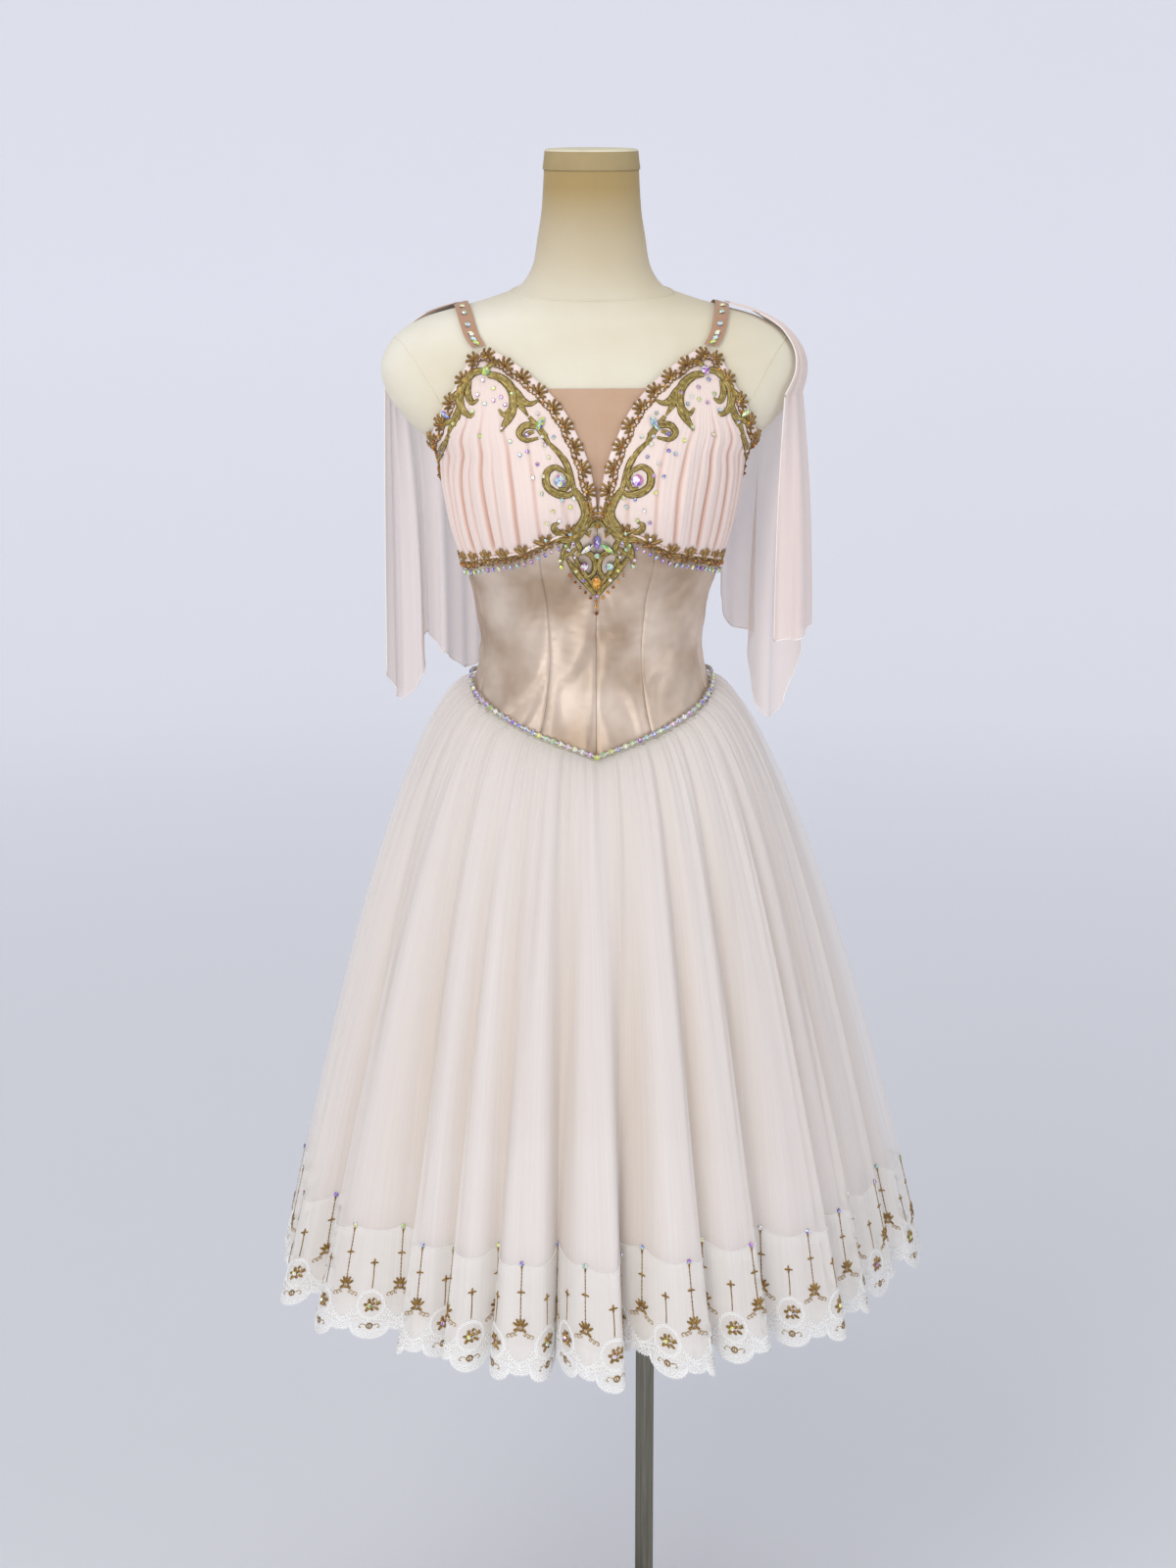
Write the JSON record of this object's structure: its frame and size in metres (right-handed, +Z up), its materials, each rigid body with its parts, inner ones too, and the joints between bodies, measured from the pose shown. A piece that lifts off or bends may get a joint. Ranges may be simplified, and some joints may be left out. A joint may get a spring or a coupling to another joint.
{
  "type": "romantic ballet tutu dress on a dress form stand",
  "caption": "Romantic ballet tutu dress with chiffon cups, satin bodice, layered tulle skirt with a lace border and shoulder drapes, on a limbless dress form with a pole stand.",
  "frame": {"origin": "centre of the round base plate's underside, on the floor", "axes": "+Z up through the dress form, the dress faces -Y, +X is the right side as seen from the front"},
  "size_m": [0.6655, 0.6631, 1.631],
  "materials": {
    "steel": "satin grey steel, slightly warm",
    "canvas": "plain cream canvas cover, pulled smooth",
    "cap_tan": "tan band with a pale top",
    "satin": "champagne duchess satin with soft puckers",
    "chiffon": "blush chiffon, fine and matt",
    "nude_mesh": "nude stretch mesh",
    "strap_elastic": "tan strap, matt",
    "pink_satin": "pale pink satin bias binding",
    "gold_lace": "antique gold metallic thread lace",
    "crystal": "faceted stones with a rainbow coating in silver cups",
    "tulle": "sheer cream tulle, gathered",
    "organza": "sheer organza with white corded lace and gold-brown embroidery"
  },
  "bodies": {
    "root": {"base_plate": "steel", "pole_collar": "steel", "pole": "steel", "pole_flange": "steel", "form_torso": "canvas", "form_neck_cap": "cap_tan", "bodice_centre_left": "satin", "bodice_centre_right": "satin", "bodice_side_front_left": "satin", "bodice_side_front_right": "satin", "bodice_side_left": "satin", "bodice_side_right": "satin", "bodice_side_back_left": "satin", "bodice_side_back_right": "satin", "bodice_back_left": "satin", "bodice_back_right": "satin", "cup_left": "chiffon", "cup_right": "chiffon", "mesh_insert": "nude_mesh", "neckline_binding_left": "pink_satin", "neckline_binding_right": "pink_satin", "armhole_binding_left": "pink_satin", "armhole_binding_right": "pink_satin", "underbust_piping_left": "pink_satin", "underbust_piping_right": "pink_satin", "neckline_lace_left": "gold_lace", "neckline_lace_right": "gold_lace", "armhole_lace_left": "gold_lace", "armhole_lace_right": "gold_lace", "underbust_lace_left": "gold_lace", "underbust_lace_right": "gold_lace", "cup_scroll_left": "gold_lace", "cup_scroll_right": "gold_lace", "cup_leaf_left": "gold_lace", "cup_leaf_right": "gold_lace", "centre_medallion": "gold_lace", "waist_chain": "crystal", "strap_left": "strap_elastic", "strap_right": "strap_elastic", "skirt_over": "tulle", "skirt_middle": "tulle", "skirt_under": "tulle", "skirt_border": "organza", "drape_left": "chiffon", "drape_right": "chiffon"}
  },
  "joints": []
}
